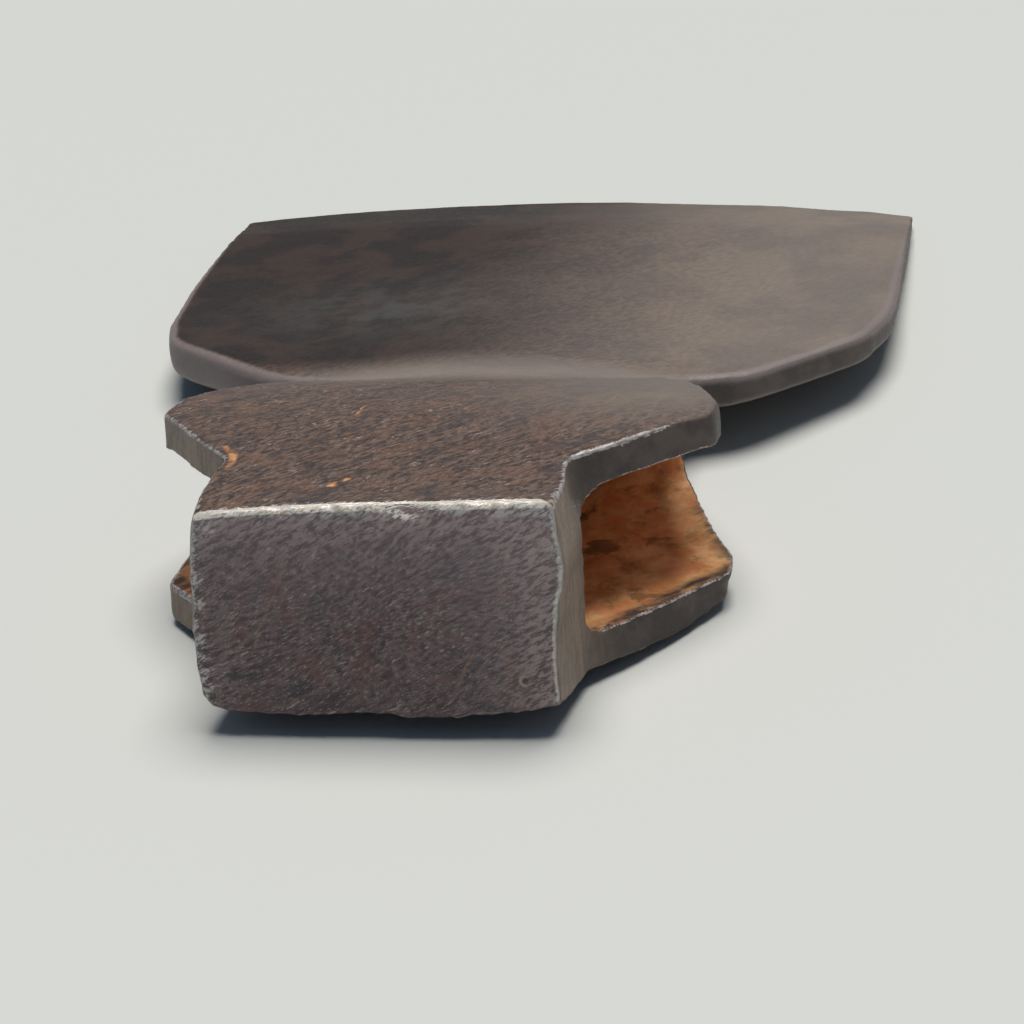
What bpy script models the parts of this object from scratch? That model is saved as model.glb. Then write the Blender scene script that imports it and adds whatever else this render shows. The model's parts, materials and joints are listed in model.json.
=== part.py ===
"""Forged head of a broad carpenter's axe, lying on one cheek and its cutting edge.

The head is built about its own middle plane: x runs along the eye, y from the poll to the cutting
edge and z across the cheeks. It is then tilted until the lower cheek and the cutting edge both
touch the ground. Sizes are in metres.
"""

import math

import bmesh
import bpy

# Lengths that follow each other from the poll to the cutting edge
POLL_DEPTH = 0.0194
EYE_LENGTH = 0.0536
NOSE_TO_WAIST = 0.009
NECK_LENGTH = 0.013
BLADE_LENGTH = 0.1165

# Poll
POLL_WIDTH = 0.0572
POLL_CORNER = 0.0016
POLL_RIM = 0.0012

# Eye and the cheeks round it
EYE_HEIGHT = 0.0228
EYE_NOSE_HEIGHT = 0.011
EYE_NOSE_ROUND = 0.0036
EYE_UPPER_CORNER = 0.0045
EYE_LOWER_CORNER = 0.0026
CHEEK_WALL = 0.0058
CHEEK_FLAT = 0.0136

# How far the upper cheek is racked towards the blade, and the lower one towards the poll
RACK = 0.0024
RACK_EASING = 0.010

# Ears, the four lugs that lengthen the eye's socket along the haft
EAR_REACH = 0.0182
EAR_FRONT = 0.0212
TOE_EAR_END = 0.008
HEEL_EAR_END = 0.0115
EAR_END_TAPER = 0.0006
EAR_ROOT_FILLET = 0.003
EAR_FRONT_ROUND = 0.0036
EAR_BACK_ROUND = 0.0052

# Neck between the ears and the blade
NECK_WIDTH = 0.062
NECK_FLARE = 0.0015
NECK_FILLET = 0.009
NECK_BLEND = 0.0036
NECK_SIDE_BLEND = 0.0013

# Shoulders, each a short run out from the neck, a long slope and a turn into the blade's side
SHOULDER_RUN = 0.012
SHOULDER_RUN_DROP = 0.0035
SHOULDER_SLOPE_DROP = 0.0245
SHOULDER_TURN = 0.0035
SHOULDER_TURN_DROP = 0.0115
SHOULDER_ROOT_FILLET = 0.003
SHOULDER_ROUND = 0.014

# Blade outline, measured from the middle of the eye
TOE_REACH = 0.0652
HEEL_REACH = 0.0712
TOE_CORNER_REACH = 0.0618
HEEL_CORNER_REACH = 0.0774
TOE_CORNER_SETBACK = 0.0128
HEEL_CORNER_SETBACK = 0.0107

# Blade thickness
CROWN_THICKNESS = 0.0126
CROWN_TIP_THICKNESS = 0.0064
CROWN_REACH_AT_NECK = 0.040
SHOULDER_THICKNESS = 0.0058
SIDE_TIP_THICKNESS = 0.0044
EDGE_THICKNESS = 0.0005
BEVEL_SLOPE = 0.135
BEVEL_BLEND = 0.0004

# Fineness of the surfaces
ARC_STEP = math.radians(12)
EDGE_STEPS = 24
FLANK_STEPS = 6
REST_STEPS = 400
GRID_COLUMNS = 32
GRID_MARGIN = 0.003
CUTTER_MARGIN = 0.012
WELD = 0.000001
MIRROR_WELD = 0.00001

IRON_COLOUR = (0.105, 0.085, 0.078, 1.0)
IRON_ROUGHNESS = 0.5
IRON_METALLIC = 0.85

# Places that follow from the sizes above
NOSE = POLL_DEPTH + EYE_LENGTH
WAIST = NOSE + NOSE_TO_WAIST
SHOULDER = WAIST + NECK_LENGTH
HEAD_LENGTH = SHOULDER + BLADE_LENGTH
CHEEK_FLAT_END = POLL_DEPTH + CHEEK_FLAT
EAR_TIP = POLL_DEPTH + EAR_FRONT
POLL_HALF = EYE_HEIGHT / 2 + CHEEK_WALL
CHEEK_FALL = (EYE_HEIGHT - EYE_NOSE_HEIGHT) / 2 / (NOSE - CHEEK_FLAT_END) ** 2


def clear_scene():
    for old in list(bpy.data.objects):
        bpy.data.objects.remove(old)


def collection(name):
    made = bpy.data.collections.new(name)
    bpy.context.scene.collection.children.link(made)
    return made


def mix(a, b, share):
    return a + (b - a) * share


def spread(low, high, count):
    return [mix(low, high, i / count) for i in range(count + 1)]


def clamp(value):
    return max(0.0, min(1.0, value))


def ease(value):
    """A smooth step from 0 to 1."""
    share = clamp(value)
    return share * share * (3 - 2 * share)


def smooth_max(a, b, blend):
    return (a + b + math.hypot(a - b, blend)) / 2


def smooth_min(a, b, blend):
    return (a + b - math.hypot(a - b, blend)) / 2


def edge_circle():
    """Centre and radius of the cutting edge's arc, through both corners and the foremost point."""
    toe = (TOE_CORNER_REACH, HEAD_LENGTH - TOE_CORNER_SETBACK)
    heel = (-HEEL_CORNER_REACH, HEAD_LENGTH - HEEL_CORNER_SETBACK)
    chord = math.dist(toe, heel)
    middle = ((toe[0] + heel[0]) / 2, (toe[1] + heel[1]) / 2)
    bow = HEAD_LENGTH - middle[1]
    radius = (chord * chord / 4 + bow * bow) / (2 * bow)
    along = ((toe[0] - heel[0]) / chord, (toe[1] - heel[1]) / chord)
    back = radius - bow
    centre = (middle[0] + along[1] * back, middle[1] - along[0] * back)
    return centre, radius


def edge_y(x):
    """Where the cutting edge crosses this x."""
    centre, radius = edge_circle()
    return centre[1] + math.sqrt(max(0.0, radius**2 - (x - centre[0]) ** 2))


def racked(y, z):
    """Where a point of the eye block lands once the cheeks are racked against each other."""
    rise = ease((y - POLL_DEPTH + RACK_EASING) / RACK_EASING)
    fall = ease((WAIST - y) / (WAIST - EAR_TIP))
    return y + RACK * rise * fall * z / POLL_HALF


def cheek_half(y):
    """Half thickness of the eye block: flat past the poll, then falling to the wall at the eye's nose."""
    past = max(0.0, y - CHEEK_FLAT_END)
    return POLL_HALF - CHEEK_FALL * past * past


def blade_half(x, y):
    """Half thickness of the blade: thickest on its middle line, thin at its sides, ground to the edge."""
    along = clamp((y - WAIST) / (HEAD_LENGTH - WAIST))
    middle = (TOE_REACH - HEEL_REACH) / 2 * along
    reach = mix(CROWN_REACH_AT_NECK, (TOE_REACH + HEEL_REACH) / 2, along)
    crown = mix(CROWN_THICKNESS, CROWN_TIP_THICKNESS, along) / 2
    side = mix(SHOULDER_THICKNESS, SIDE_TIP_THICKNESS, along) / 2
    body = mix(crown, side, ease(abs(x - middle) / reach))
    ground = EDGE_THICKNESS / 2 + max(0.0, edge_y(x) - y) * BEVEL_SLOPE
    return max(EDGE_THICKNESS / 2, smooth_min(body, ground, BEVEL_BLEND))


def half_thickness(x, y):
    """Half thickness of the whole head, with the poll's rim rounded over."""
    blend = mix(NECK_BLEND, NECK_SIDE_BLEND, ease(abs(x) / (NECK_WIDTH / 2)))
    blend *= ease((y - CHEEK_FLAT_END) / (WAIST - CHEEK_FLAT_END))
    half = smooth_max(cheek_half(y), blade_half(x, y), blend)
    into_rim = max(0.0, POLL_RIM - max(0.0, y))
    rim = POLL_RIM - math.sqrt(POLL_RIM**2 - into_rim**2)
    return max(EDGE_THICKNESS / 2, half - rim)


def corner_arc(before, corner, after, radius):
    """Points of the arc that rounds one corner, its radius limited by the sides it joins."""
    to_before = (before[0] - corner[0], before[1] - corner[1])
    to_after = (after[0] - corner[0], after[1] - corner[1])
    length_before = math.hypot(*to_before)
    length_after = math.hypot(*to_after)
    u = (to_before[0] / length_before, to_before[1] / length_before)
    v = (to_after[0] / length_after, to_after[1] / length_after)
    turn = math.pi - math.acos(max(-1.0, min(1.0, u[0] * v[0] + u[1] * v[1])))
    if radius <= 0 or turn < ARC_STEP / 10:
        return [corner]
    reach = min(radius * math.tan(turn / 2), 0.49 * length_before, 0.49 * length_after)
    radius = reach / math.tan(turn / 2)
    bisector = (u[0] + v[0], u[1] + v[1])
    to_centre = radius / math.cos(turn / 2) / math.hypot(*bisector)
    centre = (corner[0] + bisector[0] * to_centre, corner[1] + bisector[1] * to_centre)
    spoke = (corner[0] + u[0] * reach - centre[0], corner[1] + u[1] * reach - centre[1])
    side = 1 if u[0] * v[1] - u[1] * v[0] < 0 else -1
    arc = []
    for angle in spread(0.0, side * turn, max(2, math.ceil(turn / ARC_STEP))):
        cosine, sine = math.cos(angle), math.sin(angle)
        arc.append(
            (
                centre[0] + spoke[0] * cosine - spoke[1] * sine,
                centre[1] + spoke[0] * sine + spoke[1] * cosine,
            )
        )
    return arc


def rounded(corners):
    """Points of a closed outline whose corners, each (across, along, radius), are turned into arcs."""
    points = []
    for i, (across, along, radius) in enumerate(corners):
        before = corners[i - 1][:2]
        after = corners[(i + 1) % len(corners)][:2]
        points += corner_arc(before, (across, along), after, radius)
    return points


def side_corners(side, ear_end, reach, corner_reach, corner_setback):
    """One side of the plan outline, from poll to blade corner: side is 1 for the toe, -1 for the heel."""
    poll = POLL_WIDTH / 2
    tip = poll + EAR_REACH
    neck = NECK_WIDTH / 2
    slope_end = SHOULDER + SHOULDER_SLOPE_DROP
    return [
        (side * poll, 0.0, POLL_CORNER),
        (side * poll, POLL_DEPTH, EAR_ROOT_FILLET),
        (side * tip, EAR_TIP, EAR_FRONT_ROUND),
        (side * (tip - EAR_END_TAPER), EAR_TIP + ear_end, EAR_BACK_ROUND),
        (side * neck, WAIST, NECK_FILLET),
        (side * (neck + NECK_FLARE), SHOULDER, SHOULDER_ROOT_FILLET),
        (side * (neck + SHOULDER_RUN), SHOULDER + SHOULDER_RUN_DROP, SHOULDER_ROUND),
        (side * (reach - SHOULDER_TURN), slope_end, SHOULDER_ROUND),
        (side * reach, slope_end + SHOULDER_TURN_DROP, SHOULDER_ROUND),
        (side * corner_reach, HEAD_LENGTH - corner_setback, 0.0),
    ]


def plan_outline():
    """The head seen square to its cheeks, as (x, y), anticlockwise from the poll's toe corner."""
    toe = side_corners(1, TOE_EAR_END, TOE_REACH, TOE_CORNER_REACH, TOE_CORNER_SETBACK)
    heel = side_corners(-1, HEEL_EAR_END, HEEL_REACH, HEEL_CORNER_REACH, HEEL_CORNER_SETBACK)
    across = spread(TOE_CORNER_REACH, -HEEL_CORNER_REACH, EDGE_STEPS)[1:-1]
    edge = [(x, edge_y(x), 0.0) for x in across]
    return rounded(toe + edge + heel[::-1])


def eye_outline():
    """The eye seen along the haft, as (y, z): a square front, flanks along the cheeks, a round nose."""
    flank = spread(CHEEK_FLAT_END, NOSE - 2 * EYE_NOSE_ROUND, FLANK_STEPS)
    upper = [(POLL_DEPTH, EYE_HEIGHT / 2, EYE_UPPER_CORNER)]
    upper += [(y, cheek_half(y) - CHEEK_WALL, 0.0) for y in flank]
    upper += [(NOSE, EYE_NOSE_HEIGHT / 2, EYE_NOSE_ROUND)]
    lower = [(y, -z, radius) for y, z, radius in upper[:0:-1]]
    lower += [(POLL_DEPTH, -EYE_HEIGHT / 2, EYE_LOWER_CORNER)]
    return [(racked(y, z), z) for y, z in rounded(upper + lower)]


def unmoved(point):
    return point


def racked_in_plan(point):
    x, y, z = point
    return x, racked(y, z), z


def prism(name, points, half_depth, home, place=unmoved):
    """A closed outline filled and extruded both ways, its points then put in place, as a mesh object."""
    curve = bpy.data.curves.new(name, "CURVE")
    curve.dimensions = "2D"
    curve.fill_mode = "BOTH"
    curve.extrude = half_depth
    spline = curve.splines.new("POLY")
    spline.points.add(len(points) - 1)
    for point, (across, along) in zip(spline.points, points):
        point.co = (across, along, 0.0, 1.0)
    spline.use_cyclic_u = True
    drawn = bpy.data.objects.new(name + "_curve", curve)
    home.objects.link(drawn)
    bpy.context.view_layer.update()
    graph = bpy.context.evaluated_depsgraph_get()
    mesh = bpy.data.meshes.new_from_object(drawn.evaluated_get(graph))
    bpy.data.objects.remove(drawn)
    bm = bmesh.new()
    bm.from_mesh(mesh)
    bmesh.ops.remove_doubles(bm, verts=bm.verts, dist=WELD)
    for vert in bm.verts:
        vert.co = place(vert.co)
    bmesh.ops.recalc_face_normals(bm, faces=bm.faces)
    bmesh.ops.triangulate(bm, faces=bm.faces)
    bm.to_mesh(mesh)
    bm.free()
    made = bpy.data.objects.new(name, mesh)
    made.hide_render = True
    made.display_type = "WIRE"
    home.objects.link(made)
    return made


def grid_stations():
    """Columns and rows of the surface grid, with close rows where the cheeks run into the blade."""
    columns = spread(-HEEL_CORNER_REACH - GRID_MARGIN, TOE_REACH + GRID_MARGIN, GRID_COLUMNS)
    neck_end = SHOULDER + NECK_LENGTH
    rows = [-GRID_MARGIN] + spread(-POLL_RIM / 4, POLL_RIM, 4)
    rows += spread(POLL_RIM, CHEEK_FLAT_END, 5)[1:]
    rows += spread(CHEEK_FLAT_END, WAIST, 12)[1:]
    rows += spread(WAIST, neck_end, 9)[1:]
    rows += spread(neck_end, HEAD_LENGTH + GRID_MARGIN, 20)[1:]
    return columns, rows


def cheek_sheet():
    """The untrimmed upper half of the head: a sheet at half thickness, with a skirt to the middle."""
    columns, rows = grid_stations()
    bm = bmesh.new()
    bmesh.ops.create_grid(bm, x_segments=len(columns) - 1, y_segments=len(rows) - 1, size=1.0)
    for vert in bm.verts:
        x = columns[round((vert.co.x + 1) / 2 * (len(columns) - 1))]
        y = rows[round((vert.co.y + 1) / 2 * (len(rows) - 1))]
        vert.co = (x, y, half_thickness(x, y))
    border = [edge for edge in bm.edges if edge.is_boundary]
    skirt = bmesh.ops.extrude_edge_only(bm, edges=border)["geom"]
    for item in skirt:
        if isinstance(item, bmesh.types.BMVert):
            item.co.z = 0.0
    bmesh.ops.recalc_face_normals(bm, faces=bm.faces)
    mesh = bpy.data.meshes.new("axe_head")
    bm.to_mesh(mesh)
    bm.free()
    return mesh


def iron():
    material = bpy.data.materials.new("forged_iron")
    material.use_nodes = True
    shader = material.node_tree.nodes["Principled BSDF"]
    shader.inputs["Base Color"].default_value = IRON_COLOUR
    shader.inputs["Roughness"].default_value = IRON_ROUGHNESS
    shader.inputs["Metallic"].default_value = IRON_METALLIC
    return material


def boolean(target, operation, cutter):
    modifier = target.modifiers.new(cutter.name, "BOOLEAN")
    modifier.operation = operation
    modifier.solver = "EXACT"
    modifier.object = cutter


def rest_angle():
    """Tilt at which the lower cheek and the cutting edge stand on one plane."""
    steepest = 0.0
    for y in spread(0.0, WAIST, REST_STEPS):
        rise = half_thickness(0.0, y) - EDGE_THICKNESS / 2
        steepest = max(steepest, rise / (HEAD_LENGTH - y))
    return math.atan(steepest)


def lay_down(head):
    """Tilts the head to rest and puts the origin under the middle of its box."""
    head.rotation_euler.x = -rest_angle()
    bpy.context.view_layer.update()
    graph = bpy.context.evaluated_depsgraph_get()
    placed = head.evaluated_get(graph)
    mesh = placed.to_mesh()
    points = [placed.matrix_world @ vert.co for vert in mesh.vertices]
    lows = [min(point[axis] for point in points) for axis in range(3)]
    highs = [max(point[axis] for point in points) for axis in range(3)]
    placed.to_mesh_clear()
    head.location = (-(lows[0] + highs[0]) / 2, -(lows[1] + highs[1]) / 2, -lows[2])


def build():
    clear_scene()
    parts = collection("axe")
    cutters = collection("axe_cutters")
    cutters.hide_render = True

    head = bpy.data.objects.new("axe_head", cheek_sheet())
    head.data.materials.append(iron())
    parts.objects.link(head)

    halves = head.modifiers.new("lower_cheek", "MIRROR")
    halves.use_axis = (False, False, True)
    halves.merge_threshold = MIRROR_WELD

    plan = prism("plan_outline", plan_outline(), POLL_HALF + CUTTER_MARGIN, cutters, racked_in_plan)
    boolean(head, "INTERSECT", plan)

    eye_depth = POLL_WIDTH / 2 + EAR_REACH + CUTTER_MARGIN
    eye = prism("eye", eye_outline(), eye_depth, cutters)
    eye.rotation_euler = (math.pi / 2, 0.0, math.pi / 2)
    boolean(head, "DIFFERENCE", eye)

    for cutter in (plan, eye):
        cutter.parent = head
    lay_down(head)


build()
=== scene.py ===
import json
import math

import bpy
import numpy as np
from mathutils import Matrix, Vector
from mathutils.kdtree import KDTree


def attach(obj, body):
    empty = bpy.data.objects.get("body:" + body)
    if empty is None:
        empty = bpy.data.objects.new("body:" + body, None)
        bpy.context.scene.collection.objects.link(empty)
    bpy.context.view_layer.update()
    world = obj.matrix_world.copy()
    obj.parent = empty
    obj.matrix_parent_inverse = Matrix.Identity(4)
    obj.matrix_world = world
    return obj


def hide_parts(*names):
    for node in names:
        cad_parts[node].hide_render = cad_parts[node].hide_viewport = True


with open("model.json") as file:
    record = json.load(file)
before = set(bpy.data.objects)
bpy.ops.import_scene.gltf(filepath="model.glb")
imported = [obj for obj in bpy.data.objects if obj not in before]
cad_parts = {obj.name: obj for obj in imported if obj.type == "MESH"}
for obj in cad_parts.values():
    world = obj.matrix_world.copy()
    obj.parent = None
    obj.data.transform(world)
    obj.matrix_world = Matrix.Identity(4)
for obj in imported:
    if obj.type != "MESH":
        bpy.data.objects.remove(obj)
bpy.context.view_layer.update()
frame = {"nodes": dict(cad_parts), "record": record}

# AXE HEAD, the forging. One bar of iron drawn out hot under the hammer: a thick square
# poll, a through eye between pointed lugs, a thin neck and a wide blade. It is one solid,
# so it is one piece here, wrapped on the CAD solid and worked over.
MM = 0.001
FORGED_GRID = 0.45
FINISHED_TRIANGLES = 192000

# Places on the head are in millimetres: x along the eye with the toe side positive, y from
# the poll's face to the cutting edge, and z up through the cheeks.
POLL_HALF_WIDTH = 28.6
POLL_HALF_HEIGHT = 17.2
EYE_START = 19.4
EYE_END = 73.0
LUG_TIP = 47.0
NECK = 84.0
SHOULDER = 114.0
BLADE_TIP = 211.5
CORNER_PIT = (28.6, 1.6, 17.4)

# How the head lies is read off the mount on the poll's face, whose axis points out of it.
head_cad = frame["nodes"]["axe_head"]
poll_mount = next(m for m in frame["record"]["mounts"] if m["name"] == "poll_face")
along = -Vector(poll_mount["axis"]).normalized()
across = Vector((1.0, 0.0, 0.0))
through = across.cross(along)
head_lie = Matrix((across, along, through)).transposed().to_4x4()
head_lie.translation = Vector(poll_mount["pos_m"])


def eased(value, start, end):
    """0 before start, 1 after end, and a smooth rise between them."""
    share = np.clip((value - start) / (end - start), 0.0, 1.0)
    return share * share * (3.0 - 2.0 * share)


def hump(value, middle, reach):
    """1 at the middle, dying away over about the reach on each side."""
    return np.exp(-(((value - middle) / reach) ** 2))


def uneven(points, cell, seed):
    """A smooth seeded unevenness between -1 and 1, with swells about one cell long."""
    low = points.min(axis=0) - cell
    size = np.ceil((points.max(axis=0) - low) / cell).astype(int) + 3
    lattice = np.random.default_rng(seed).uniform(-1.0, 1.0, size)
    place = (points - low) / cell
    corner = place.astype(int)
    part = place - corner
    part = part * part * (3.0 - 2.0 * part)
    total = np.zeros(len(points))
    for i in (0, 1):
        for j in (0, 1):
            for k in (0, 1):
                share = np.abs(1 - i - part[:, 0]) * np.abs(1 - j - part[:, 1])
                share = share * np.abs(1 - k - part[:, 2])
                total += share * lattice[corner[:, 0] + i, corner[:, 1] + j, corner[:, 2] + k]
    return total


def point_table(mesh):
    """The mesh's points, one row each."""
    flat = np.zeros(len(mesh.vertices) * 3, np.float32)
    mesh.vertices.foreach_get("co", flat)
    return flat.reshape(-1, 3).astype(float)


def normal_table(mesh):
    """Which way the skin faces at each point, one row each."""
    flat = np.zeros(len(mesh.vertices) * 3, np.float32)
    mesh.vertex_normals.foreach_get("vector", flat)
    return flat.reshape(-1, 3).astype(float)


def link_table(mesh):
    """Which two points each edge joins, one row each."""
    flat = np.zeros(len(mesh.edges) * 2, np.int32)
    mesh.edges.foreach_get("vertices", flat)
    return flat.reshape(-1, 2)


def filed(values, links, rounds):
    """Each point's value drawn to the mean of its neighbours, as filing would."""
    count = len(values)
    a, b = links[:, 0], links[:, 1]
    joined = np.maximum(np.bincount(a, minlength=count) + np.bincount(b, minlength=count), 1)
    table = values.reshape(count, -1).copy()
    for _ in range(rounds):
        for column in range(table.shape[1]):
            value = table[:, column]
            total = np.bincount(a, value[b], count) + np.bincount(b, value[a], count)
            table[:, column] = 0.5 * value + 0.5 * total / joined
    return table.reshape(values.shape)


# An even grid is laid over the CAD solid and drawn onto its faces.
guide_mesh = head_cad.data.copy()
guide_mesh.transform(Matrix.Scale(1.0 / MM, 4) @ head_lie.inverted())
guide = bpy.data.objects.new("head_guide", guide_mesh)
bloom = bpy.data.objects.new("head_bloom", guide_mesh.copy())
for helper in (guide, bloom):
    bpy.context.scene.collection.objects.link(helper)
gridding = bloom.modifiers.new("even grid", "REMESH")
gridding.mode = "VOXEL"
gridding.voxel_size = FORGED_GRID
gridding.use_smooth_shade = True
wrapping = bloom.modifiers.new("on the solid", "SHRINKWRAP")
wrapping.target = guide
wrapping.wrap_method = "NEAREST_SURFACEPOINT"
graph = bpy.context.evaluated_depsgraph_get()
forged = bpy.data.meshes.new_from_object(bloom.evaluated_get(graph))
bpy.data.objects.remove(bloom)
bpy.data.objects.remove(guide)

links = link_table(forged)
points = point_table(forged)
x, y, z = points.T.copy()

# The poll was struck out of square: its heel side bellies out, its toe side leans, its
# long edges wander and its face is a little crowned.
near_poll = 1.0 - eased(y, 3.0, 20.0)
heel_belly = np.interp(
    z,
    (-17.2, -15.4, -13.3, -9.0, -3.0, 2.0, 8.0, 12.0, 16.3, 17.2),
    (0.5, 1.6, 2.0, 2.2, 2.1, 1.7, 1.3, 0.9, 0.3, 0.0),
)
toe_lean = np.interp(
    z,
    (-17.2, -8.0, -4.4, 1.4, 3.9, 6.9, 9.6, 12.0, 15.0, 17.7),
    (-1.2, -1.2, -1.1, -0.4, 0.4, 0.8, 0.6, 0.2, 0.0, -0.5),
)
points[:, 0] -= heel_belly * near_poll * eased(-x, 14.0, POLL_HALF_WIDTH)
points[:, 0] += toe_lean * near_poll * eased(x, 14.0, POLL_HALF_WIDTH)
top_wander = np.interp(
    x, (-28.0, -26.0, -18.0, -3.0, 9.0, 21.0, 28.0), (-1.6, -1.0, -0.3, 0.4, 0.5, 0.9, 0.8)
)
low_wander = np.interp(
    x,
    (-28.0, -25.0, -16.0, -9.0, -6.0, -3.5, -1.0, 3.0, 11.0, 16.0, 22.0, 28.0),
    (0.2, -0.5, -0.9, -0.7, -0.4, -0.1, -0.3, -0.8, -0.8, -0.3, 0.1, 0.8),
)
rim_reach = 1.0 - eased(y, 0.0, 9.0)
points[:, 2] += top_wander * rim_reach * eased(z, 6.0, POLL_HALF_HEIGHT)
points[:, 2] += low_wander * rim_reach * eased(-z, 6.0, POLL_HALF_HEIGHT)
face_only = 1.0 - eased(y, 0.0, 3.0)
points[:, 1] += 0.7 * face_only * eased(z, 7.0, 20.0)
points[:, 1] += 0.5 * face_only * eased(-z, 9.0, 18.5)
points[:, 1] += 0.35 * face_only * eased(np.abs(x), 20.0, 30.0)

# A chip is struck off the rim near its middle, and a small pit sits behind the toe corner.
chip = hump(x, 5.5, 4.0) * hump(z, 16.4, 1.5) * face_only
points[:, 1] += 0.6 * chip
points[:, 2] -= 0.25 * chip
pit = np.exp(-((x - CORNER_PIT[0]) ** 2 + (y - CORNER_PIT[1]) ** 2 + (z - CORNER_PIT[2]) ** 2))
points[:, 2] -= 0.5 * pit
points[:, 0] -= 0.3 * pit

# The lugs came out of the hammer unequal in length.
before_neck = 1.0 - eased(y, NECK - 18.0, NECK - 4.0)
toe_tip = eased(x, LUG_TIP - 13.0, LUG_TIP)
heel_tip = eased(-x, LUG_TIP - 13.0, LUG_TIP)
top_lugs = eased(z, 4.0, 12.0)
low_lugs = eased(-z, 4.0, 12.0)
toe_low_tip = toe_tip * low_lugs * before_neck
heel_top_tip = heel_tip * top_lugs * before_neck
heel_low_tip = heel_tip * low_lugs * before_neck
toe_low_round = eased(x, LUG_TIP - 14.0, LUG_TIP) * eased(-z, 4.0, 10.0) * (1.0 - eased(y, 36.0, 58.0))
points[:, 0] += 0.8 * toe_low_tip + 1.2 * heel_top_tip + 0.4 * heel_low_tip
points[:, 1] += 3.8 * toe_low_round - 1.6 * heel_low_tip * hump(y, 44.0, 16.0)

# The toe side's lower lug has its bottom corner knocked off, its upper lug springs from
# a pinched root, and the eye's top front corner was left full there.
knocked = eased(x, LUG_TIP - 7.0, LUG_TIP) * eased(-z, 11.0, 16.0)
knocked = knocked * (1.0 - eased(y, NECK - 22.0, NECK - 8.0))
points[:, 2] += 1.5 * knocked
points[:, 0] -= 0.9 * knocked
pinch = hump(y, 19.5, 6.0) * eased(x, 18.0, 27.0) * eased(z, 5.0, 14.0)
points[:, 0] -= 1.4 * pinch
full_corner = np.exp(-(((y - 21.0) ** 2 + (z - 11.0) ** 2) / 12.0)) * eased(x, 16.0, 26.0)
points[:, 1] += 1.0 * full_corner
points[:, 2] -= 1.2 * full_corner

# The blade's heel side was left fuller than the solid shows, its cutting edge reaches a
# little further at that end, and both shoulders are slightly swollen.
HEEL_FULLNESS = 2.1
heel_outline = np.interp(
    y,
    (66.0, 88.0, 100.0, 114.0, 134.0, 142.0, 150.0, 159.0, 165.0, 171.0, 178.0, 188.0, 195.0, 201.0),
    (0.0, 0.37, 0.75, 1.0, 0.96, 1.08, 1.10, 0.90, 0.69, 0.47, 0.22, -0.10, -0.14, 0.0),
)
heel_shoulder = eased(-x, 30.0, 66.0) * heel_outline
toe_shoulder = eased(x, 30.0, 60.0) * hump(y, SHOULDER - 10.0, 26.0)
points[:, 0] -= HEEL_FULLNESS * heel_shoulder
points[:, 0] += 0.3 * toe_shoulder - 0.9 * hump(y, SHOULDER + 15.0, 10.0) * eased(x, 50.0, 62.0)
heel_reach = np.interp(
    x, (-76.0, -66.0, -56.0, -36.0, -26.0, -10.0, 10.0), (1.4, 1.9, 1.3, 1.2, 0.6, 0.5, 0.0)
)
points[:, 1] += heel_reach * eased(y, 165.0, 203.0)
by_shoulder = hump(y, SHOULDER, 26.0)
shoulder_swell = heel_shoulder * by_shoulder + toe_shoulder
points[:, 2] += np.sign(z) * 0.45 * shoulder_swell
points[:, 2] -= 1.2 * heel_shoulder * by_shoulder * eased(-z, 0.0, 2.0)

# Arrises are eased as use eases them, the blade's sides a little more. Its shoulders are
# rolled right over, and so is the tip of the toe side's upper lug.
soft = filed(points, links, 3)
softer = filed(soft, links, 7)
softest = filed(softer, links, 38)
past_neck = eased(y, NECK, NECK + 10.0)
side_roll = past_neck * (1.0 - eased(y, BLADE_TIP - 16.0, BLADE_TIP - 6.0))
shoulder_roll = past_neck * (1.0 - eased(y, 145.0, 190.0))
tip_roll = eased(x, LUG_TIP - 8.0, LUG_TIP - 1.0) * eased(z, 12.0, 16.0) * (1.0 - past_neck)
shoulder_roll = np.maximum(shoulder_roll, 0.8 * tip_roll)
points = soft + (softer - soft) * side_roll[:, None]
points = points + (softest - points) * shoulder_roll[:, None]

forged.vertices.foreach_set("co", points.astype(np.float32).ravel())
forged.update()
normals = filed(normal_table(forged), links, 2)
normals /= np.maximum(np.linalg.norm(normals, axis=1), 1e-9)[:, None]
x, y, z = points.T.copy()

# Which surface each point lies on, and how far it stands out of what is round it.
on_poll = (1.0 - eased(y, 1.2, 2.2)) * eased(-normals[:, 1], 0.3, 0.7)
in_eye = eased(y, EYE_START - 0.6, EYE_START) * (1.0 - eased(y, EYE_END, EYE_END + 1.0))
in_eye = in_eye * (1.0 - eased(np.abs(z), 11.8, 12.4))
in_eye = in_eye * (1.0 - eased(np.abs(normals[:, 0]), 0.35, 0.60))
in_eye = in_eye * (1.0 - eased(np.sign(z) * normals[:, 2], 0.1, 0.4))
on_cheek = eased(np.abs(normals[:, 2]), 0.6, 0.85) * (1.0 - in_eye)
on_side = np.clip(1.0 - on_poll - on_cheek - in_eye, 0.0, 1.0)
standing = ((points - filed(points, links, 10)) * normals).sum(axis=1)

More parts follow.
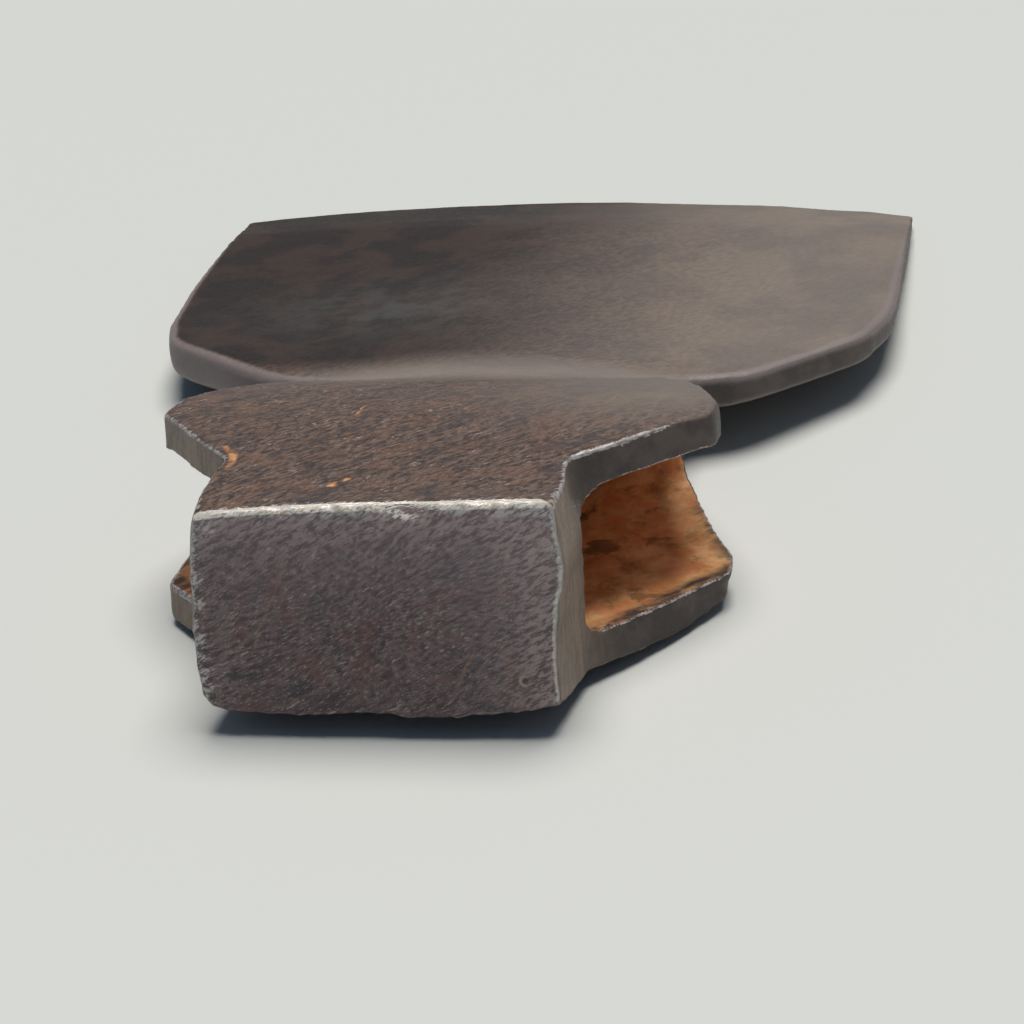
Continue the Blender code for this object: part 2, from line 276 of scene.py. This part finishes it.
# Hammering left slow swells and shallow marks. A coarse stone or file left fine slanting
# grain, and the poll's rim is battered.
grain_places = np.stack(
    (
        0.30 * (0.60 * x + 0.62 * y + 0.50 * z),
        0.79 * x - 0.61 * y,
        0.85 * z - 0.50 * x,
    ),
    axis=1,
)
swells = 0.26 * uneven(points, 27.0, 11) + 0.12 * uneven(points, 12.0, 12)
marks = 0.06 * uneven(points, 5.5, 13)
grain = 0.035 * uneven(grain_places, 0.8, 14) + 0.018 * uneven(grain_places, 1.5, 15)
batter = 0.28 * uneven(points, 2.6, 16) + 0.26 * uneven(points, 1.2, 17)
calm = 1.0 - 0.8 * eased(y, NECK, NECK + 26.0)
work = swells * (1.0 - 0.5 * in_eye) + marks * calm
work = work + grain * (0.8 + 0.5 * on_poll - 0.4 * on_side) * calm
battered = eased(standing, 0.03, 0.14) * (1.0 - eased(y, 60.0, 80.0))
battered = battered * (0.35 + 0.65 * (1.0 - eased(y, 2.0, 6.0))) * (1.0 - 0.5 * in_eye)
work = work + batter * battered
work = work * (1.0 - eased(y, BLADE_TIP - 20.0, BLADE_TIP - 12.0))
points = points + normals * work[:, None]

# Where it lies on the table it goes no lower than the table.
lie_rows = np.array(head_lie.to_3x3())
height = points @ lie_rows[2] + head_lie.translation.z / MM
points = points - np.minimum(height, 0.0)[:, None] * lie_rows[2]
forged.vertices.foreach_set("co", points.astype(np.float32).ravel())
forged.update()

# What the skin needs to know of each point. An arris is where the skin faces halfway
# between two sides. Worn is how far it is rubbed to metal. Bright is how fresh that metal
# is, and it also carries a painted highlight, strongest on the poll's upper rim and the toe
# side's arrises, which catch the overhead light. Pale is patina rubbed thin by handling.
facing_front = -normals[:, 1]
facing_toe = normals[:, 0]
facing_up = normals[:, 2]
facing_out = np.sign(z) * facing_up
facing_round = np.hypot(normals[:, 0], normals[:, 1])


def arris(one_way, other_way, start, end):
    """How nearly a point faces halfway between two ways."""
    return eased(np.minimum(one_way, other_way), start, end)


# The rims of the poll's face, then the arrises of the lugs and of the blade's shoulders.
fore = 1.0 - eased(y, 2.5, 4.5)
chip_facet = chip * eased(facing_front, 0.45, 0.80)
top_rim = arris(facing_front, facing_up, 0.12, 0.42) * fore * eased(z, 8.0, 12.0)
top_rub = 0.54 * (1.0 - eased(y, 0.9, 3.6)) * eased(z, 14.4, 16.6)
toe_rim = 0.88 * arris(facing_front, facing_toe, 0.38, 0.58) * fore * eased(x, 15.0, 22.0)
toe_rub = 0.27 * eased(x, 25.0, 27.8) * on_poll
heel_rim = arris(facing_front, -facing_toe, 0.12, 0.45) * fore * eased(-x, 15.0, 22.0)
heel_rim = heel_rim * (0.50 + 0.40 * eased(z, 5.0, 14.0))
heel_rub = 0.40 * eased(-x, 26.0, 29.0) * on_poll
heel_corner = np.exp(-(((x + 28.0) / 4.0) ** 2) - ((z - 15.0) / 3.5) ** 2) * on_poll
low_rim = arris(facing_front, -facing_up, 0.25, 0.55) * fore * eased(-z, 8.0, 12.0)
lugs = eased(y, 1.5, 4.0) * (1.0 - eased(y, NECK - 22.0, NECK - 8.0)) * eased(np.abs(x), 22.0, 26.0)
lug_top = arris(facing_round, facing_up, 0.16, 0.44) * lugs * eased(z, 8.0, 11.0)
lug_foot = arris(facing_round, -facing_up, 0.30, 0.58) * lugs * eased(-z, 8.0, 11.0)
toe_lug = arris(facing_round, facing_up, 0.08, 0.34) * lugs * eased(z, 8.0, 11.0)
toe_lug = toe_lug * eased(x, 0.0, 4.0) * (1.0 - eased(x, 36.0, 44.0)) * (1.0 - eased(y, 44.0, 54.0))
heel_lug = lug_top * eased(-x, 0.0, 4.0)
lug_root_rub = 1.0 - 0.35 * (1.0 - eased(y, 14.0, 20.0))
eye_lip = arris(np.abs(facing_toe), -facing_out, 0.36, 0.60) * lugs * eased(y, 18.0, 22.0)
eye_lip = eye_lip * (1.0 - eased(np.abs(z), 12.8, 13.6))
heel_lip = arris(-facing_toe, -facing_out, 0.12, 0.40) * lugs * eased(-x, 30.0, 38.0)
heel_lip = heel_lip * eased(-z, 8.0, 10.0)
rolled_rim = eased(y, NECK, NECK + 8.0) * (1.0 - eased(y, 160.0, 192.0))
roll_line = arris(facing_round, facing_up, 0.10, 0.34) * rolled_rim
roll_foot = arris(facing_round, -facing_up, 0.20, 0.50) * rolled_rim
worn = np.max(
    (
        0.80 * top_rim,
        top_rub,
        toe_rim,
        toe_rub,
        heel_rim,
        heel_rub,
        0.55 * heel_corner,
        0.36 * low_rim,
        0.88 * toe_lug * lug_root_rub,
        0.62 * heel_lug,
        0.38 * lug_foot,
        0.78 * eye_lip,
        0.95 * heel_lip,
    ),
    axis=0,
)
worn = worn * (1.0 - np.clip(1.6 * pit, 0.0, 1.0)) * (1.0 - 0.62 * chip_facet)
# Painted highlight: bright lifts bare metal on the poll's upper rim and the toe side's arrises towards
# white.
bright = np.max((top_rim, top_rub, 0.66 * toe_rim, 0.55 * toe_lug), axis=0)

# Rust fills the eye and sits at the root of the heel side's upper lug and by the poll's
# low toe corner.
root_line = np.interp(y, (15.0, 23.0, 29.0), (-26.6, -27.6, -31.6))
lug_root = hump(x, root_line, 1.5) * eased(y, 12.0, 17.0) * (1.0 - eased(y, 26.0, 31.0))
lug_root = lug_root * eased(z, 12.0, 15.0) * on_cheek
foot_rust = np.exp(-(((x - 28.8) ** 2 + (y - 3.2) ** 2 + (z + 11.5) ** 2) / 2.2))
rusty = filed(in_eye, links, 1) + 0.62 * lug_root + 0.8 * foot_rust

# Two short streaks of rust show on the upper cheek, one close behind the poll's rim.
for start, end, width, strength in (
    ((-8.4, 9.5), (-6.4, 12.5), 1.0, 0.82),
    ((-12.4, 40.0), (-12.2, 47.5), 0.7, 0.62),
):
    run = np.subtract(end, start)
    share = np.clip(((x - start[0]) * run[0] + (y - start[1]) * run[1]) / (run @ run), 0.0, 1.0)
    far = np.hypot(x - start[0] - share * run[0], y - start[1] - share * run[1])
    rusty = rusty + strength * hump(far, 0.0, width) * eased(z, 12.0, 15.0) * on_cheek
rusty = np.clip(rusty, 0.0, 1.0)

# The eye's low wall is darker in a band just inside its lip. Deep in the eye, furthest from
# its openings and towards its top, painted shade is laid on in the colour of dark scale.
lip_reach = filed(eye_lip, links, 60)
lip_band_reach = 24.0 - 16.0 * eased(y, 38.0, 46.0)
lip_dark_band = np.clip(lip_band_reach * lip_reach * in_eye * eased(-z, 2.0, 8.0), 0.0, 1.0)
eye_deep_shade = in_eye * (1.0 - eased(np.abs(x), 8.0, 34.0)) * (0.6 + 0.4 * eased(z, -8.0, 4.0))

# Handling has left the toe cheek, the neck and the toe half of the blade pale. The heel
# half stayed sooty, with a slate-grey patch.
toe_cheek = 0.80 * eased(x, -8.0, 40.0) * eased(y, 24.0, 56.0)
neck_band = eased(y, 65.0, 86.0) * (1.0 - eased(y, 90.0, 114.0)) * eased(x, -52.0, -24.0)
toe_blade = np.clip((x + 34.0) / 78.0, 0.0, 1.0) * eased(y, 92.0, 106.0)
pale = np.max((toe_cheek, neck_band, toe_blade), axis=0)
pale = np.clip(pale * (1.0 - 0.86 * on_side), 0.0, 1.0)
sooty = eased(y, 96.0, 108.0) * (1.0 - eased(x, -30.0, 30.0)) * (1.0 - roll_line)
slate = np.exp(-(((x + 24.0) / 30.0) ** 2) - ((y - 136.0) / 16.0) ** 2)

# The poll's face is scuffed towards its rims. The poll's sides, the heel side's lugs and
# the rolled shoulders are smoother and paler than the cheeks. The blade's side face on the
# heel side is painted paler as well, as painted light falling on that side.
rubbed_face = hump(z, 18.0, 6.0) + 0.8 * hump(x, 26.0, 6.0) + 0.2 * hump(x, -28.0, 4.0)
rubbed_face = np.clip(rubbed_face + chip_facet, 0.0, 1.0) * on_poll
# Painted light: the poll's face is made paler towards its top, as the overhead light falls on it, with
# a paler patch towards its toe side.
face_top_lit = np.clip(eased(z, -14.0, 18.0) ** 1.6 + 0.30 * hump(x, 20.0, 9.0), 0.0, 1.0) * on_poll
poll_side = 1.0 - eased(y, EYE_START - 8.0, EYE_START + 6.0)
heel_face = 0.95 * eased(-x, 27.0, 32.0) * (1.0 - eased(y, 50.0, 70.0))
poll_side = np.maximum(poll_side, heel_face) * on_side
# Painted light: the blade's side face on the heel side is made paler, as if lit.
heel_flank_lit = 0.90 * on_side * rolled_rim * eased(-x, 40.0, 58.0)
rolled_and_lit = np.clip(0.90 * roll_line + 0.75 * roll_foot + heel_flank_lit, 0.0, 1.0)

# The even grid is thinned where it is flat. Each point that is left takes the shares that
# were worked out for the nearest point of the grid.
finishing = bpy.data.objects.new("head_finishing", forged)
bpy.context.scene.collection.objects.link(finishing)
thinning = finishing.modifiers.new("thin the grid", "DECIMATE")
thinning.ratio = FINISHED_TRIANGLES / (2 * len(forged.polygons))
graph = bpy.context.evaluated_depsgraph_get()
head_mesh = bpy.data.meshes.new_from_object(finishing.evaluated_get(graph))
head_mesh.name = "axe_head_forging"
bpy.data.objects.remove(finishing)

finder = KDTree(len(points))
for index, place in enumerate(points):
    finder.insert(place, index)
finder.balance()
nearest = np.array([finder.find(v.co)[1] for v in head_mesh.vertices])
for name, values in (
    ("worn", worn),
    ("bright", bright),
    ("rusty", rusty),
    ("pale", pale),
    ("sooty", sooty),
    ("on_poll", on_poll),
    ("on_side", on_side),
    ("poll_side", poll_side),
    ("rubbed_face", rubbed_face),
    ("face_top_lit", face_top_lit),
    ("slate", slate),
    ("rolled_and_lit", rolled_and_lit),
    ("eye_deep_shade", eye_deep_shade),
    ("lip_dark_band", lip_dark_band),
):
    layer = head_mesh.attributes.new(name, "FLOAT", "POINT")
    layer.data.foreach_set("value", values[nearest].astype(np.float32))
head_mesh.transform(head_lie @ Matrix.Scale(MM, 4))
head_mesh.shade_smooth()
head = bpy.data.objects.new("axe_head_forging", head_mesh)
bpy.context.scene.collection.objects.link(head)

# AXE HEAD, its skin. Forge scale and handling have left a dark brown patina with a fine
# slanting grain. Arrises are rubbed to bare metal, and the eye is orange with rust.
skin = bpy.data.materials.new("forge_patina")
skin.use_nodes = True
skin.node_tree.nodes.clear()


def put(kind, settings, feeds):
    """One node of the skin, with its settings and what feeds each of its sockets.

    A socket goes by its name, or by its number where a node uses one name twice.
    """
    made = skin.node_tree.nodes.new("ShaderNode" + kind)
    for key, value in settings.items():
        setattr(made, key, value)
    for key, value in feeds.items():
        if isinstance(value, bpy.types.NodeSocket):
            skin.node_tree.links.new(value, made.inputs[key])
        else:
            made.inputs[key].default_value = value
    return made


def tone(red, green, blue):
    """A colour read off a paint chart, as the shader wants it."""
    parts = []
    for part in (red, green, blue):
        part = part / 255.0
        parts.append(part / 12.92 if part < 0.04045 else ((part + 0.055) / 1.055) ** 2.4)
    return (*parts, 1.0)


def told(name):
    """A share that was worked out for each point of the head."""
    return put("Attribute", {"attribute_name": name}, {}).outputs["Fac"]


def mottle(place, size, detail=3.0, roughness=0.55, warp=0.0):
    """Cloudy variation with patches about size millimetres across."""
    feeds = {"Vector": place, "Scale": 1.0 / size, "Detail": detail, "Roughness": roughness}
    feeds["Distortion"] = warp
    return put("TexNoise", {"noise_dimensions": "3D"}, feeds).outputs["Fac"]


def ramp(value, start, end, low=0.0, high=1.0):
    """The value eased from low to high between start and end."""
    feeds = {"Value": value, "From Min": start, "From Max": end, "To Min": low, "To Max": high}
    return put("MapRange", {"interpolation_type": "SMOOTHSTEP"}, feeds).outputs["Result"]


def figure(a, b, kind):
    """Two values put together by a sum of the named kind."""
    return put("Math", {"operation": kind}, {0: a, 1: b}).outputs[0]


def plus(a, b):
    return figure(a, b, "ADD")


def times(a, b):
    return figure(a, b, "MULTIPLY")


def over(under, top, amount):
    """One colour laid over another by an amount."""
    feeds = {0: amount, 6: under, 7: top}
    return put("Mix", {"data_type": "RGBA", "clamp_factor": True}, feeds).outputs[2]


def turned(place, turn, stretch):
    """Places turned and then squeezed, so that what is laid on them runs in streaks."""
    swung = put("Mapping", {}, {"Vector": place, "Rotation": turn})
    return put("Mapping", {}, {"Vector": swung.outputs[0], "Scale": stretch}).outputs[0]


def on_the_head():
    """Places in millimetres from the poll's face, along and across the head as it lies."""
    upright = head_lie.inverted()
    feeds = {
        "Vector": put("TexCoord", {}, {}).outputs["Object"],
        "Scale": (1.0 / MM, 1.0 / MM, 1.0 / MM),
        "Rotation": upright.to_euler(),
        "Location": upright.translation / MM,
    }
    return put("Mapping", {}, feeds).outputs[0]


spot = on_the_head()
worn_in = told("worn")
bright_in = told("bright")
rusty_in = told("rusty")
pale_in = told("pale")
sooty_in = told("sooty")
poll_in = told("on_poll")
side_in = told("on_side")
poll_side_in = told("poll_side")
rubbed_in = told("rubbed_face")
rolled_and_lit_in = told("rolled_and_lit")
eye_deep_shade_in = told("eye_deep_shade")
lip_dark_in = told("lip_dark_band")
face_top_lit_in = told("face_top_lit")
slate_in = told("slate")

# The grain slants one way on the poll's face and another on the rest of the head.
poll_streak = turned(spot, (0.0, math.radians(28.0), 0.0), (0.32, 1.0, 1.0))
cheek_streak = turned(spot, (0.0, 0.0, math.radians(-48.0)), (0.36, 1.0, 1.0))
feeds = {0: poll_in, 4: cheek_streak, 5: poll_streak}
streaks = put("Mix", {"data_type": "VECTOR"}, feeds).outputs[1]

broad = mottle(spot, 20.0, 3.0)
clouds = mottle(spot, 6.0, 4.0, 0.6)
patches = mottle(streaks, 3.0, 4.0, 0.62, 0.4)
strokes = mottle(streaks, 0.62, 4.0, 0.68)
hairs = mottle(streaks, 0.30, 3.0, 0.65)
stroke_tone = ramp(strokes, 0.40, 0.60)

# Cheeks: brown over black, with grey-blue scale in the hollows of the grain.
cheeks = over(tone(66, 53, 48), tone(115, 93, 81), stroke_tone)
cheeks = over(cheeks, tone(62, 57, 58), times(ramp(patches, 0.53, 0.64), 0.75))
cheeks = over(cheeks, tone(122, 88, 68), times(ramp(clouds, 0.50, 0.66), 0.35))
cheeks = over(cheeks, tone(40, 33, 33), times(ramp(hairs, 0.45, 0.30), 0.75))
cheeks = over(cheeks, tone(152, 130, 112), times(ramp(hairs, 0.56, 0.70), 0.50))

# Poll face: cooler and purplish, finer grained, with pale scuffs near its rims.
face = over(tone(72, 60, 61), tone(118, 99, 99), ramp(strokes, 0.36, 0.62))
face = over(face, tone(62, 57, 63), times(ramp(patches, 0.53, 0.64), 0.75))
face = over(face, tone(116, 76, 72), times(ramp(clouds, 0.50, 0.64), 0.50))
face = over(face, tone(46, 38, 42), times(ramp(hairs, 0.45, 0.30), 0.65))
face = over(face, tone(172, 156, 150), times(ramp(hairs, 0.55, 0.66), 0.60))
# Painted light: paler streaks towards the top of the face stand in for the overhead light.
face = over(face, tone(152, 136, 138), times(face_top_lit_in, ramp(strokes, 0.35, 0.65, 0.30, 0.65)))
face = over(face, tone(176, 160, 156), times(rubbed_in, ramp(strokes, 0.42, 0.60, 0.08, 0.90)))

# Sides: smoother, drawn down by the hammer, paler on the poll and on the heel side's lugs.
drawn = mottle(turned(spot, (0.0, 0.0, 0.0), (1.0, 1.0, 0.3)), 1.6, 4.0, 0.6)
sides = over(tone(62, 54, 52), tone(86, 76, 71), ramp(clouds, 0.38, 0.62))
sides = over(sides, tone(144, 126, 109), times(poll_side_in, ramp(drawn, 0.36, 0.64, 0.55, 0.98)))

# The blade: patina rubbed thin on its toe half, soot and slate-grey scale on its heel half.
patina = over(cheeks, face, poll_in)
patina = over(patina, sides, times(side_in, 0.90))
rubbed_thin = times(pale_in, ramp(strokes, 0.40, 0.62, 0.92, 1.0))
thin_tone = over(tone(134, 121, 110), tone(122, 111, 104), ramp(broad, 0.40, 0.60))
patina = over(patina, thin_tone, rubbed_thin)
soot = over(tone(38, 29, 23), tone(57, 42, 33), ramp(mottle(spot, 14.0, 4.0, 0.55, 0.4), 0.42, 0.60))
soot = over(soot, tone(74, 72, 70), times(slate_in, ramp(clouds, 0.40, 0.62, 0.25, 0.85)))
patina = over(patina, soot, times(sooty_in, 0.95))
# Rolled shoulders are paler, and the heel side's blade face is painted paler as painted light.
patina = over(patina, tone(136, 124, 122), times(rolled_and_lit_in, 0.80))

# Flecks of brown rust and glints of bare metal sit in the grain of the cheeks and the face.
flecks = ramp(mottle(streaks, 1.3, 3.0, 0.5), 0.65, 0.70)
flecks = times(flecks, ramp(mottle(spot, 11.0, 2.0), 0.52, 0.60))
flecks = times(flecks, ramp(plus(pale_in, plus(sooty_in, side_in)), 0.0, 0.3, 0.75, 0.0))
patina = over(patina, tone(146, 100, 74), times(flecks, ramp(poll_in, 0.0, 1.0, 1.0, 0.5)))
glints = times(ramp(mottle(streaks, 0.48, 2.0), 0.60, 0.70), ramp(patches, 0.42, 0.50, 1.0, 0.0))
glints = times(glints, ramp(plus(pale_in, plus(sooty_in, side_in)), 0.0, 0.4, 0.75, 0.0))
patina = over(patina, tone(180, 166, 156), glints)

# Eye: soft orange rust with dark scale left in it. Deeper in, more of the dark scale colour
# is laid on as painted shade.
rust = over(tone(226, 158, 98), tone(255, 200, 142), ramp(mottle(spot, 5.0, 5.0, 0.62), 0.36, 0.64))
rust = over(rust, tone(234, 140, 90), times(ramp(clouds, 0.46, 0.62), 0.55))
scale_left = ramp(mottle(spot, 7.0, 5.0, 0.6, 0.5), 0.55, 0.66, 0.0, 0.60)
# Painted shade deep in the eye and towards its top, in the colour of dark scale.
scale_left = plus(scale_left, times(eye_deep_shade_in, ramp(clouds, 0.40, 0.60, 0.58, 0.94)))
rust = over(rust, tone(88, 64, 34), scale_left)
smudges = ramp(mottle(spot, 9.0, 4.0, 0.65, 0.3), 0.54, 0.64)
smudges = times(smudges, ramp(hairs, 0.30, 0.60, 0.50, 0.20))
rust = over(rust, tone(78, 66, 42), smudges)
# The eye's low wall is darker in a band just inside its lip.
rust = over(rust, tone(66, 54, 48), times(lip_dark_in, ramp(patches, 0.42, 0.60, 1.0, 0.55)))
rust_share = ramp(plus(rusty_in, times(plus(clouds, -0.5), 0.6)), 0.42, 0.72)
patina = over(patina, rust, rust_share)


def scratch(start, end, width):
    """A straight scratch on the poll face from start to end, both as (x, z)."""
    middle = (Vector(start) + Vector(end)) / 2.0
    run = Vector(end) - Vector(start)
    turn = -math.atan2(run.y, run.x)
    shifted = put("Mapping", {}, {"Vector": spot, "Location": (-middle.x, 0.0, -middle.y)})
    swung = put("Mapping", {}, {"Vector": shifted.outputs[0], "Rotation": (0.0, -turn, 0.0)})
    split = put("SeparateXYZ", {}, {"Vector": swung.outputs[0]}).outputs
    wander = times(plus(mottle(spot, 5.0, 2.0), -0.5), 1.2)
    off_line = figure(plus(split["Z"], wander), 0.0, "ABSOLUTE")
    reach = run.length / 2.0
    along_line = ramp(figure(split["X"], 0.0, "ABSOLUTE"), reach - 2.5, reach, 1.0, 0.0)
    return times(times(ramp(off_line, 0.0, width, 1.0, 0.0), along_line), poll_in)


scratches = plus(
    scratch((15.4, -4.6), (10.2, -14.2), 0.45),
    scratch((-13.2, 9.6), (-21.2, -7.4), 0.35),
)
patina = over(patina, tone(150, 116, 102), times(scratches, ramp(strokes, 0.40, 0.60, 0.30, 0.85)))


def round_mark(place):
    """How far a point is from a round mark's middle, and how far to its toe side."""
    moved = put("Mapping", {}, {"Vector": spot, "Location": tuple(-part for part in place)})
    far = put("VectorMath", {"operation": "LENGTH"}, {0: moved.outputs[0]}).outputs["Value"]
    return far, put("SeparateXYZ", {}, {"Vector": moved.outputs[0]}).outputs["X"]


# A blister of scale has burst low on the poll's face and left a bright ring, open on its
# toe side, round a dark middle. The pit behind the toe corner is dark with a bright rim.
BURST_BLISTER = (22.1, 0.4, -11.4)
blister_far, blister_side = round_mark(BURST_BLISTER)
blister_ring = times(ramp(blister_far, 0.50, 0.72), ramp(blister_far, 0.95, 1.20, 1.0, 0.0))
blister_ring = times(blister_ring, ramp(blister_side, -0.2, 0.5, 0.8, 0.1))
patina = over(patina, tone(170, 158, 146), blister_ring)
patina = over(patina, tone(44, 40, 42), ramp(blister_far, 0.40, 0.60, 0.7, 0.0))
pit_far = round_mark(CORNER_PIT)[0]
patina = over(patina, tone(178, 164, 150), ramp(pit_far, 0.9, 1.3, 0.8, 0.0))
patina = over(patina, tone(56, 46, 40), ramp(pit_far, 0.5, 0.8, 0.9, 0.0))

# Bare metal breaks through along the grain, bright where it is still being rubbed. Where
# bright is high, a near-white painted highlight is laid on it too.
jagged = plus(times(plus(strokes, -0.5), 1.4), times(plus(hairs, -0.5), 0.9))
bare_share = ramp(plus(worn_in, jagged), 0.36, 0.56)
bare_share = times(bare_share, ramp(worn_in, 0.05, 0.25))
highlit_bare = over(tone(206, 184, 160), tone(255, 250, 242), ramp(hairs, 0.38, 0.58))
dull = over(tone(132, 124, 120), tone(190, 184, 182), stroke_tone)
bare = over(dull, highlit_bare, ramp(bright_in, 0.45, 0.85))
surface = over(patina, bare, bare_share)

# Bare metal is glossier than patina and rust is duller. The grain stands up a little.
metal_share = times(bare_share, 0.40)
gloss = ramp(strokes, 0.36, 0.64, 0.44, 0.62)
gloss = plus(gloss, times(rust_share, 0.25))
gloss = plus(gloss, times(bare_share, -0.08))

depth = plus(times(strokes, 0.8), times(hairs, 0.30))
depth = times(depth, ramp(plus(pale_in, sooty_in), 0.2, 0.9, 1.0, 0.30))
depth = plus(depth, times(scratches, -0.5))
relief = put("Bump", {}, {"Height": depth, "Strength": 0.8, "Distance": 0.00013})
feeds = {
    "Base Color": surface,
    "Metallic": metal_share,
    "Roughness": gloss,
    "Normal": relief.outputs["Normal"],
    "Specular IOR Level": 0.42,
}
shine = put("BsdfPrincipled", {}, feeds)
put("OutputMaterial", {}, {"Surface": shine.outputs["BSDF"]})
head_mesh.materials.clear()
head_mesh.materials.append(skin)

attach(head, "root")
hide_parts("axe_head")

# TABLE. A plain flat board that the head lies on, painted a pale matt grey. It is wide
# enough to fill the view from any side.
TABLE_REACH = 6.0
table_corners = [(-TABLE_REACH, -TABLE_REACH, 0.0), (TABLE_REACH, -TABLE_REACH, 0.0)]
table_corners += [(TABLE_REACH, TABLE_REACH, 0.0), (-TABLE_REACH, TABLE_REACH, 0.0)]
table_mesh = bpy.data.meshes.new("table_top")
table_mesh.from_pydata(table_corners, [], [(0, 1, 2, 3)])
table = bpy.data.objects.new("table_top", table_mesh)
bpy.context.scene.collection.objects.link(table)
paint = bpy.data.materials.new("pale_paint")
paint.use_nodes = True
coat = paint.node_tree.nodes["Principled BSDF"]
coat.inputs["Base Color"].default_value = tone(211, 212, 208)
coat.inputs["Roughness"].default_value = 0.7
coat.inputs["Specular IOR Level"].default_value = 0.3
table_mesh.materials.append(paint)

# LIGHT. One broad soft light almost straight overhead, a little behind the head and to
# its right, and a cool dim room all round, which leaves the shadows slightly blue.
room = bpy.data.worlds.new("studio_room")
bpy.context.scene.world = room
room.use_nodes = True
room.node_tree.nodes["Background"].inputs["Color"].default_value = (0.46, 0.70, 1.0, 1.0)
room.node_tree.nodes["Background"].inputs["Strength"].default_value = 0.15
overhead_lamp = bpy.data.lights.new("overhead_light", "SUN")
overhead_lamp.angle = math.radians(36.0)
overhead_lamp.energy = 3.1
overhead_lamp.color = (1.0, 0.97, 0.92)
overhead = bpy.data.objects.new("overhead_light", overhead_lamp)
bpy.context.scene.collection.objects.link(overhead)
overhead.location = (0.15, 0.26, 1.75)
overhead.rotation_euler = (-overhead.location).to_track_quat("-Z", "Y").to_euler()

# CAMERA. Low in front of the poll and a little to its toe side, with a long lens, so the
# poll's face, the upper cheek and the way into the eye all show.
camera_place = Vector((0.14675319, -0.57002883, 0.2820156))
camera_right = Vector((0.97574858, 0.19384189, -0.10168598))
camera_up = Vector((0.000503773, 0.462553909, 0.886591015))
camera_back = camera_right.cross(camera_up)
camera_data = bpy.data.cameras.new("camera")
camera_data.lens = 126.56
camera_data.sensor_width = 36.0
camera_data.clip_start = 0.01
camera = bpy.data.objects.new("camera", camera_data)
bpy.context.scene.collection.objects.link(camera)
camera_axes = Matrix((camera_right, camera_up, camera_back)).transposed().to_4x4()
camera_axes.translation = camera_place
camera.matrix_world = camera_axes
bpy.context.scene.camera = camera
bpy.context.scene.view_settings.view_transform = "Standard"
